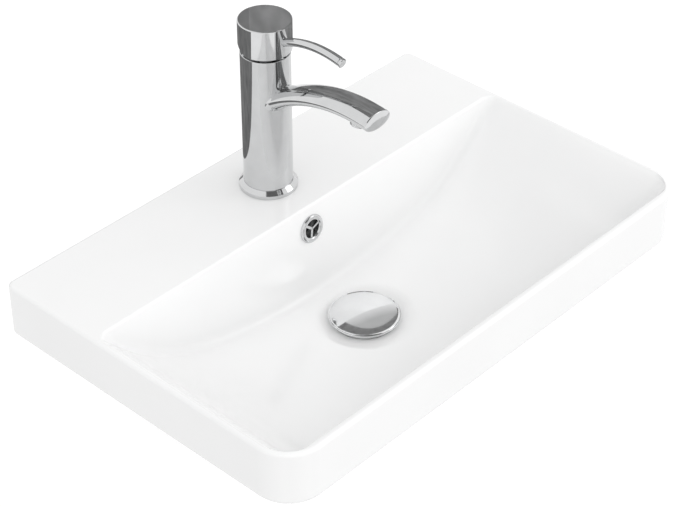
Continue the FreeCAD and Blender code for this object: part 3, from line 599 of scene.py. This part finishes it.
def riser(x, side, rim_y, draft, radius):
    """Points and normals down the front or back wall of the bowl and round its foot, at a station."""
    floor, slope = trough(x)
    lean = math.tan(math.radians(draft)) / math.cos(slope)
    reach = math.hypot(1, lean)
    foot = side * rim_y - (rim_top - floor) * math.tan(math.radians(draft))
    centre = foot + radius * (lean - reach)
    height = (cut_z - floor) * math.cos(slope)
    wall_end = radius * (1 - lean / reach)
    floor_normal = Vector((-math.sin(slope), 0, math.cos(slope)))
    wall_normal = Vector((0, -side * math.cos(math.radians(draft)), math.sin(math.radians(draft))))
    # Near the ends the bowl is so shallow that only the foot's arc is left under the rim
    top_turn = -math.atan(lean) if height >= wall_end else math.asin(max(-1.0, height / radius - 1))

    def on_arc(turn):
        point = Vector((x, side * (centre + radius * math.cos(turn)),
                        floor + radius * (1 + math.sin(turn)) / math.cos(slope)))
        return point, Vector((0, -side * math.cos(turn), 0)) - floor_normal * math.sin(turn)

    def on_wall(rise):
        return Vector((x, side * (foot + rise * lean), floor + rise / math.cos(slope))), wall_normal

    down = []
    for step in range(wall_steps):
        rise = height + (wall_end - height) * step / wall_steps
        down.append(on_wall(rise) if height >= wall_end else on_arc(top_turn))
    for step in range(arc_steps + 1):
        down.append(on_arc(top_turn + (-math.pi / 2 - top_turn) * step / arc_steps))
    return down


def bowl_section(x):
    """Points and normals across the bowl at a station, from the back rim to the front rim."""
    back = riser(x, 1, back_rim_y, back_wall_draft, back_floor_radius)
    front = riser(x, -1, front_rim_y, front_wall_draft, front_floor_radius)
    start, normal = back[-1]
    end = front[-1][0]
    level = [(start.lerp(end, step / floor_steps), normal) for step in range(1, floor_steps)]
    return back + level + front[::-1]


def dished(point):
    """Point of the bowl lowered into the shallow dish round the waste hole."""
    from_drain = math.hypot(point.x, point.y - drain_y)
    share = (dish_radius - from_drain) / (dish_radius - dish_flat_radius)
    share = min(1.0, max(0.0, share))
    share = share * share * (3 - 2 * share)
    return Vector((point.x, point.y, point.z + (dish_z - point.z) * share))


def left_open(points):
    """True for a face of the bowl that makes way for the waste or the overflow."""
    in_dish = all(math.hypot(p.x, p.y - drain_y) < dish_open_radius and p.z < floor_z for p in points)
    in_window = all(max(abs(p.x), abs(p.z - overflow_z)) < overflow_window for p in points)
    return in_dish or (in_window and all(p.y > 0 for p in points))


def add_bowl(bm):
    """Inside of the bowl up to the foot of its rounded rim, and the rim itself."""
    sections = [bowl_section(x) for x in station_places()]
    grid = [[bm.verts.new(dished(point)) for point, normal in section] for section in sections]
    for near, far in zip(grid, grid[1:]):
        for index in range(len(near) - 1):
            corners = [near[index], near[index + 1], far[index + 1], far[index]]
            if not left_open([corner.co for corner in corners]):
                bm.faces.new(corners)
    # Once round the foot of the rim, with repeated points left out
    outline = [section[0] for section in sections] + sections[-1][1:]
    outline += [section[-1] for section in sections[-2::-1]] + sections[0][-2:0:-1]
    pairs = zip(outline, outline[-1:] + outline)
    add_rim(bm, [spot for spot, before in pairs if (spot[0] - before[0]).length > tiny])


def rim_room(point):
    """Distance in plan from a point to the inner side of the basin's rounded top edge."""
    radius = front_corner_radius - top_edge_radius
    past_side = abs(point.x) - half_width + front_corner_radius
    past_front = -point.y - half_depth + front_corner_radius
    if past_side > 0 and past_front > 0:
        return radius - math.hypot(past_side, past_front)
    return radius - max(past_side, past_front)


def add_rim(bm, outline):
    """Rounded inner edge of the rim, from the bowl's wall to the level rim."""
    rings = [[] for step in range(rim_steps + 1)]
    for point, normal in outline:
        steep = math.acos(normal.normalized().z)
        outward = -Vector((normal.x, normal.y, 0)).normalized()
        edge = point + outward * rim_cut / math.tan(steep) + Vector((0, 0, rim_cut))
        # At the front corners the roll keeps inside the basin's own top edge
        edge += outward * min(0.0, rim_room(edge) - rim_land - least_roll)
        level = edge + outward * min(rim_cut * math.sin(steep) ** 2, rim_room(edge) - rim_land)
        for step, ring in enumerate(rings):
            share = step / rim_steps
            on_edge = point.lerp(edge, share).lerp(edge.lerp(level, share), share)
            ring.append(bm.verts.new(on_edge))
    for low, high in zip(rings, rings[1:]):
        bridge(bm, low, high)


def reached(start, limit):
    """Faces reached from the start across edges that turn no more than the limit."""
    found = set(start)
    waiting = list(start)
    while waiting:
        for edge in waiting.pop().edges:
            if len(edge.link_faces) != 2 or edge.calc_face_angle() > limit:
                continue
            for neighbour in edge.link_faces:
                if neighbour not in found:
                    found.add(neighbour)
                    waiting.append(neighbour)
    return found


def drop_slivers(bm):
    """Deletes islands of faces that are only slivers, left over from the shown side."""
    left = set(bm.faces)
    while left:
        island = reached([next(iter(left))], math.pi)
        left -= island
        if sum(face.calc_area() for face in island) < sliver_area:
            bmesh.ops.delete(bm, geom=list(island), context="FACES")


def hidden_side(bm, node):
    """Copies a solid's faces, leaving out those that run on from its level rim without a sharp edge."""
    copy = frame["nodes"][node].data.copy()
    if "custom_normal" in copy.attributes:
        copy.attributes.remove(copy.attributes["custom_normal"])
    bm.from_mesh(copy)
    bpy.data.meshes.remove(copy)
    bmesh.ops.remove_doubles(bm, verts=bm.verts, dist=tiny)
    level = [face for face in bm.faces if all(vertex.co.z > rim_top - tiny for vertex in face.verts)]
    bmesh.ops.delete(bm, geom=list(reached(level, math.radians(flood_angle))), context="FACES")
    drop_slivers(bm)


def make_basin(finishes):
    """Fine skin over the shown side of the casting, joined to the solid's own hidden side."""
    bm = bmesh.new()
    hidden_side(bm, "basin_body")
    add_apron(bm)
    add_bowl(bm)
    bmesh.ops.remove_doubles(bm, verts=bm.verts, dist=tiny)
    bmesh.ops.dissolve_degenerate(bm, edges=bm.edges, dist=tiny)
    for height in (rim_top, 0.0, dish_z):
        fill(bm, open_edges(bm, height))
    fill(bm, [edge for edge in bm.edges if edge.is_boundary])
    new_piece("glazed_basin", bm, finishes, "glaze", "basin", "basin_body")


def make_overflow_ring(finishes):
    """Rounded ring on the back wall with three bevelled spokes across its bore."""
    bm = bmesh.new()
    corners = (
        (ring_bore, -ring_collar_length, 0),
        (ring_collar, -ring_collar_length, 0),
        (ring_collar, 0, 0),
        (ring_radius, 0, 0),
        (ring_radius, ring_height, ring_edge),
        (ring_bore, ring_height, ring_edge),
    )
    lathe(bm, rounded(corners), closed=True)
    length = (ring_bore + ring_collar) / 2
    for angle in spoke_angles:
        size = Matrix.Diagonal((length, spoke_width, spoke_high - spoke_low, 1))
        middle = Matrix.Translation((length / 2, 0, (spoke_low + spoke_high) / 2))
        turn = Matrix.Rotation(math.radians(angle), 4, "Z")
        bar = bmesh.ops.create_cube(bm, size=1.0, matrix=turn @ middle @ size)
        edges = list({edge for vertex in bar["verts"] for edge in vertex.link_edges})
        bmesh.ops.bevel(bm, geom=edges, offset=spoke_edge, segments=spoke_edge_steps, affect="EDGES")
    wall_y = back_rim_y - (rim_top - overflow_z) * math.tan(math.radians(back_wall_draft))
    lean = Matrix.Rotation(math.radians(90 - back_wall_draft), 4, "X")
    place(bm, Matrix.Translation((0, wall_y, overflow_z)) @ lean)
    new_piece("chrome_overflow_ring", bm, finishes, "chrome", "basin", "overflow_ring")


def make_plug():
    """Shallow dome with a fine groove at its thin edge, a flared underside and a boss for the plunger."""
    bm = bmesh.new()
    edge_bottom = plug_underside + plug_flare_rise
    edge_top = edge_bottom + plug_edge
    sphere = (plug_radius ** 2 + plug_dome_rise ** 2) / (2 * plug_dome_rise)
    lip = plug_radius - plug_lip
    valley = lip - plug_groove_width / 2
    shoulder = lip - plug_groove_width

    def dome(radius):
        return edge_top + plug_dome_rise - sphere + math.sqrt(sphere ** 2 - radius ** 2)

    corners = [
        (0, plug_underside, 0),
        (plug_boss_bore, plug_underside, 0),
        (plug_boss_bore, plug_underside - plug_boss_length, 0),
        (plug_boss_radius, plug_underside - plug_boss_length, 0),
        (plug_boss_radius, plug_underside, 0),
        (plug_radius - plug_flare_width, plug_underside, 0),
        (plug_radius, edge_bottom, 0),
        (plug_radius, dome(plug_radius), plug_edge_radius),
        (lip, dome(lip), plug_groove_edge),
        (valley, dome(valley) - plug_groove_depth, plug_groove_edge),
        (shoulder, dome(shoulder), 0),
    ]
    outline = rounded(corners)
    for step in range(1, plug_dome_steps + 1):
        radius = shoulder * (1 - step / plug_dome_steps)
        outline.append((radius, dome(radius)))
    lathe(bm, outline)
    place(bm, Matrix.Translation((0, drain_y, 0)))
    # Lighter copy of the tap's chrome, a painted highlight that brightens the reflection over the whole dome
    bright = {"chrome": chrome_material("chrome_painted_brighter", plug_chrome_painted_brighter)}
    new_piece("chrome_plug", bm, bright, "chrome", "plug", "plug_cap")


def add_blind_hole(bm, x, y, radius, bottom, depth):
    """Round hole up into a piece from its level underside, left open at its mouth."""
    rings = []
    for height in (bottom, bottom + depth):
        ring = []
        for index in range(hole_segments):
            turn = 2 * math.pi * index / hole_segments
            ring.append(bm.verts.new((x + radius * math.cos(turn), y + radius * math.sin(turn), height)))
        rings.append(ring)
    bridge(bm, rings[0], rings[1])
    bm.faces.new(rings[1])


def make_tap_body(finishes):
    """Turned body with rolled edges, the cartridge's chamber and the holes in its underside."""
    bm = bmesh.new()
    corners = (
        (tap_radius, base_ring_height, 0),
        (tap_radius, tap_height, tap_edge),
        (nut_bore, tap_height, tap_edge / 2),
        (nut_bore, nut_seat, 0),
        (chamber_radius, nut_seat, 0),
        (chamber_radius, chamber_floor, 0),
        (0, chamber_floor, 0),
    )
    lathe(bm, rounded(corners))
    for x, y in inlet_places:
        add_blind_hole(bm, x, y, inlet_radius, base_ring_height, inlet_depth)
    add_blind_hole(bm, *stud_place, stud_radius, base_ring_height, inlet_depth)
    fill(bm, open_edges(bm, base_ring_height))
    place(bm, tap_place)
    new_piece("chrome_tap_body", bm, finishes, "chrome", "basin", "tap_body")


def make_base_ring(finishes):
    """Ring with a broad chamfer between the tap and the deck."""
    bm = bmesh.new()
    corners = (
        (base_ring_bore, 0, 0),
        (base_ring_radius, 0, base_ring_edge),
        (base_ring_radius, base_ring_height - base_ring_chamfer, base_ring_edge),
        (base_ring_radius - base_ring_chamfer, base_ring_height, base_ring_edge),
        (base_ring_bore, base_ring_height, 0),
    )
    lathe(bm, rounded(corners), closed=True)
    place(bm, tap_place)
    new_piece("chrome_base_ring", bm, finishes, "chrome", "basin", "base_ring")


def spout_ring(bm, share, inset, forward):
    """Oval ring across the spout at a share of its run, drawn in by an inset and moved towards its end."""
    ring = []
    centre_z = spout_crown_height - spout_arc_radius
    for index in range(spout_segments):
        turn = 2 * math.pi * index / spout_segments
        x = (spout_half_width - inset) * math.cos(turn)
        radius = spout_arc_radius + (spout_half_thickness - inset) * math.sin(turn)
        start = math.asin((spout_root_reach - spout_crown_reach) / spout_arc_radius)
        end = math.asin((spout_reach - spout_edge - spout_crown_reach) / radius)
        along = start + (end - start) * share
        y = -spout_crown_reach - radius * math.sin(along)
        point = Vector((x, y, centre_z + radius * math.cos(along)))
        out = Vector((math.cos(turn) / spout_half_width, 0, math.sin(turn) / spout_half_thickness))
        out.normalize()
        # The skin flares out a little where it runs into the tap
        near = (math.hypot(point.x, point.y) - tap_radius) / spout_flare
        if near < 1:
            point += out * spout_flare * (1 - max(near, 0)) ** 2
        ring.append(bm.verts.new(point - Vector((0, forward, 0))))
    return ring


def aerator_place():
    """Place of the aerator's axis under the spout, with the spout's centreline at height 0."""
    turn = math.asin((aerator_reach - spout_crown_reach) / spout_arc_radius)
    centre = Vector((0, -spout_crown_reach, spout_crown_height - spout_arc_radius))
    swing = Matrix.Translation(centre) @ Matrix.Rotation(turn, 4, "X") @ Matrix.Translation(-centre)
    return tap_place @ swing @ Matrix.Translation((0, -spout_crown_reach, spout_crown_height))


def make_spout(finishes):
    """Arched oval spout with an upright, softly domed end and the aerator's boss under it."""
    boss = bmesh.new()
    corners = (
        (aerator_sleeve, 0, 0),
        (aerator_boss_radius, 0, 0),
        (aerator_boss_radius, aerator_mouth, base_ring_edge),
        (aerator_sleeve, aerator_mouth, 0),
    )
    lathe(boss, rounded(corners), closed=True)
    place(boss, aerator_place())
    bm = bmesh.new()
    rings = [spout_ring(bm, index / spout_stations, 0, 0) for index in range(spout_stations + 1)]
    for step in range(1, round_steps + 1):
        turn = math.pi / 2 * step / round_steps
        rings.append(spout_ring(bm, 1, spout_edge * (1 - math.cos(turn)), spout_edge * math.sin(turn)))
    for share in spout_end_shares:
        inset = spout_edge + (spout_half_thickness - spout_edge) * (1 - share)
        rings.append(spout_ring(bm, 1, inset, spout_edge + spout_end_bulge * (1 - share ** 2)))
    for low, high in zip(rings, rings[1:]):
        bridge(bm, low, high)
    bm.faces.new(rings[0])
    bm.faces.new(rings[-1])
    place(bm, tap_place)
    joined = bpy.data.meshes.new("boss")
    boss.to_mesh(joined)
    boss.free()
    bm.from_mesh(joined)
    bpy.data.meshes.remove(joined)
    new_piece("chrome_spout", bm, finishes, "chrome", "basin", "spout")


def make_aerator(finishes):
    """Turned ring under the spout with the sleeve that holds the jet plate."""
    bm = bmesh.new()
    low = aerator_mouth - aerator_ring_height
    corners = (
        (aerator_sleeve - aerator_wall, low, base_ring_edge),
        (aerator_ring_radius - aerator_wall / 2, low, base_ring_edge),
        (aerator_ring_radius, low + aerator_wall, base_ring_edge),
        (aerator_ring_radius, aerator_mouth, 0),
        (aerator_sleeve, aerator_mouth, 0),
        (aerator_sleeve, aerator_top, 0),
        (aerator_sleeve - aerator_wall, aerator_top, 0),
    )
    lathe(bm, rounded(corners), closed=True)
    place(bm, aerator_place())
    new_piece("chrome_aerator", bm, finishes, "chrome", "basin", "aerator_housing")


def make_cap(finishes):
    """Handle cap with a rolled top edge, a recess and a rear foot cut away so that it can tilt."""
    bm = bmesh.new()
    corners = (
        (0, cap_recess_top, 0),
        (cap_recess_radius, cap_recess_top, 0),
        (cap_recess_radius, cap_bottom, cap_foot_edge),
        (cap_radius, cap_bottom, cap_foot_edge),
        (cap_radius, cap_top, cap_edge),
        (0, cap_top, 0),
    )
    rings = lathe(bm, rounded(corners))
    rise = math.tan(math.radians(cap_relief))
    for vertex in {vertex for ring in rings for vertex in ring}:
        if vertex.co.z < cap_bottom + tap_edge:
            vertex.co.z += max(0.0, vertex.co.y) * rise
            # The recess's own wall stops short of the recess's top
            if vertex.co.xy.length < cap_recess_radius + cap_foot_edge + tiny:
                vertex.co.z = min(vertex.co.z, cap_recess_top - cap_foot_edge)
    place(bm, tap_place)
    new_piece("chrome_handle_cap", bm, finishes, "chrome", "handle", "handle_cap")


def lever_outline():
    """Distances along the lever with its radius at each, groove and rolled tip included."""
    length = lever_arc_radius * math.radians(lever_arc_sweep)
    start = -lever_arc_radius * math.radians(lever_root_overlap)

    def radius(along):
        return lever_root_radius + (lever_tip_radius - lever_root_radius) * along / length

    plain_end = length - lever_groove_far
    outline = []
    for index in range(lever_stations + 1):
        along = start + (plain_end - start) * index / lever_stations
        outline.append((along, radius(along)))
    core = lever_tip_radius - lever_groove_depth
    groove_end = length - lever_groove_near
    outline += [(plain_end, core), (groove_end, core), (groove_end, radius(groove_end))]
    for step in range(round_steps + 1):
        turn = math.pi / 2 * step / round_steps
        along = length - lever_tip_edge * (1 - math.sin(turn))
        outline.append((along, lever_tip_radius - lever_tip_edge * (1 - math.cos(turn))))
    return outline


def make_lever(finishes):
    """Arched rod that thickens towards its tip."""
    bm = bmesh.new()
    slope = math.radians(lever_root_slope)
    centre = lever_root - Vector((0, math.sin(slope), math.cos(slope))) * lever_arc_radius
    rings = []
    for along, radius in lever_outline():
        turn = along / lever_arc_radius - slope
        outward = Vector((0, -math.sin(turn), math.cos(turn)))
        middle = centre + outward * lever_arc_radius
        ring = []
        for index in range(lever_segments):
            around = 2 * math.pi * index / lever_segments
            spoke = Vector((math.cos(around), 0, 0)) + outward * math.sin(around)
            ring.append(bm.verts.new(middle + spoke * radius))
        rings.append(ring)
    for low, high in zip(rings, rings[1:]):
        bridge(bm, low, high)
    bm.faces.new(rings[0])
    bm.faces.new(rings[-1])
    place(bm, tap_place)
    new_piece("chrome_lever", bm, finishes, "chrome", "handle", "lever_rod")


def make_stage_sheet(name, corners, material):
    """Flat sheet of the studio, not part of the object."""
    mesh = bpy.data.meshes.new(name)
    mesh.from_pydata(corners, [], [range(len(corners))])
    mesh.materials.append(material)
    sheet = bpy.data.objects.new(name, mesh)
    bpy.context.scene.collection.objects.link(sheet)
    return sheet


def make_floor():
    """Pale floor that shows white and keeps a faint shadow."""
    low = cad_box[0][2] - floor_gap
    size = floor_half_size
    material, nodes, links, shader = node_material("floor")
    shader.inputs["Base Color"].default_value = (floor_tone, floor_tone, floor_tone, 1)
    shader.inputs["Roughness"].default_value = floor_rough
    shader.inputs["Specular IOR Level"].default_value = 0.0
    shader.inputs["Emission Color"].default_value = (1, 1, 1, 1)
    lit = nodes.new("ShaderNodeLightPath").outputs["Is Diffuse Ray"]
    links.new(spread(nodes, links, lit, floor_shown, floor_lit), shader.inputs["Emission Strength"])
    corners = [(-size, -size, low), (size, -size, low), (size, size, low), (-size, size, low)]
    make_stage_sheet("floor", corners, material)


def arch_flag():
    """Corners of a flag over a smooth arch, whose edge shows in the plug as a dark crescent."""
    near, rise, fall, far = (Vector(point) for point in arch_curve)
    corners = [(arch_ends[0], near.y)]
    for step in range(arch_steps + 1):
        share = step / arch_steps
        middle = rise.lerp(fall, share)
        early = near.lerp(rise, share).lerp(middle, share)
        late = middle.lerp(fall.lerp(far, share), share)
        corners.append(tuple(early.lerp(late, share)))
    corners += [(arch_ends[1], far.y), (arch_ends[1], arch_top), (arch_ends[0], arch_top)]
    return [(x, arch_y, z) for x, z in corners]


def flag_material(name, tone):
    """Uneven matt cloth of one tone."""
    material, nodes, links, shader = node_material(name)
    low = tone * (1 - flag_unevenness)
    high = tone * (1 + flag_unevenness)
    tint = ramp(nodes, links, noise(nodes, links, *flag_noise), (low, low, low), (high, high, high))
    links.new(tint, shader.inputs["Base Color"])
    shader.inputs["Roughness"].default_value = 1.0
    shader.inputs["Specular IOR Level"].default_value = 0.0
    return material


def veil_flag():
    """Corners of the pale flag behind the arch, which shows in the middle of the plug."""
    left, right = arch_ends
    corners = ((left, veil_low), (right, veil_low), (right, arch_top), (left, arch_top))
    return [(x, veil_y, z) for x, z in corners]


def veil_material():
    """Pale cloth that darkens with height."""
    material, nodes, links, shader = node_material("veil")
    height = nodes.new("ShaderNodeSeparateXYZ")
    links.new(nodes.new("ShaderNodeTexCoord").outputs["Object"], height.inputs["Vector"])
    fade = spread(nodes, links, height.outputs["Z"], *veil_tones)
    fade.node.inputs["From Min"].default_value = veil_low
    fade.node.inputs["From Max"].default_value = veil_fade
    links.new(fade, shader.inputs["Base Color"])
    shader.inputs["Roughness"].default_value = 1.0
    shader.inputs["Specular IOR Level"].default_value = 0.0
    return material


def make_flags():
    """Flags round the tap and behind the basin, which only the gloss of chrome and glaze shows."""
    dark = flag_material("dark_flag", dark_tone)
    grey = flag_material("grey_flag", grey_tone)
    sheets = [make_stage_sheet(name, corners, dark) for name, corners in dark_flags.items()]
    sheets += [make_stage_sheet(name, corners, grey) for name, corners in grey_flags.items()]
    sheets.append(make_stage_sheet("arch_flag", arch_flag(), dark))
    sheets.append(make_stage_sheet("veil", veil_flag(), veil_material()))
    for sheet in sheets:
        sheet.visible_camera = False
        sheet.visible_diffuse = False
        sheet.visible_shadow = False


def make_world():
    """White for the camera and for mirrors, and light from more to the front for matt surfaces."""
    world = bpy.data.worlds.new("studio")
    bpy.context.scene.world = world
    world.use_nodes = True
    nodes = world.node_tree.nodes
    links = world.node_tree.links
    shown = nodes["Background"]
    shown.inputs["Color"].default_value = (1, 1, 1, 1)
    soft = nodes.new("ShaderNodeBackground")
    soft.inputs["Color"].default_value = (1, 1, 1, 1)
    lean = nodes.new("ShaderNodeVectorMath")
    lean.operation = "DOT_PRODUCT"
    lean.inputs[1].default_value = world_lean
    links.new(nodes.new("ShaderNodeTexCoord").outputs["Generated"], lean.inputs[0])
    level = nodes.new("ShaderNodeMath")
    level.inputs[1].default_value = world_level
    links.new(lean.outputs["Value"], level.inputs[0])
    links.new(level.outputs["Value"], soft.inputs["Strength"])
    mix = nodes.new("ShaderNodeMixShader")
    links.new(nodes.new("ShaderNodeLightPath").outputs["Is Diffuse Ray"], mix.inputs["Fac"])
    links.new(shown.outputs["Background"], mix.inputs[1])
    links.new(soft.outputs["Background"], mix.inputs[2])
    links.new(mix.outputs["Shader"], nodes["World Output"].inputs["Surface"])


def make_key():
    """Soft box at the front right, for the bright lines on edges and soft shadows."""
    data = bpy.data.lights.new("key", "AREA")
    data.shape = "SQUARE"
    data.size = key_size
    data.energy = key_power
    key = bpy.data.objects.new("key", data)
    bpy.context.scene.collection.objects.link(key)
    key.location = key_place
    key.rotation_euler = Vector(key_place).to_track_quat("Z", "Y").to_euler()


bpy.context.scene.view_settings.view_transform = "Standard"
make_camera()
make_world()
make_key()
make_floor()
make_flags()
finishes = make_finishes()
dress_frame(finishes)
make_basin(finishes)
make_overflow_ring(finishes)
make_plug()
make_tap_body(finishes)
make_base_ring(finishes)
make_spout(finishes)
make_aerator(finishes)
make_cap(finishes)
make_lever(finishes)
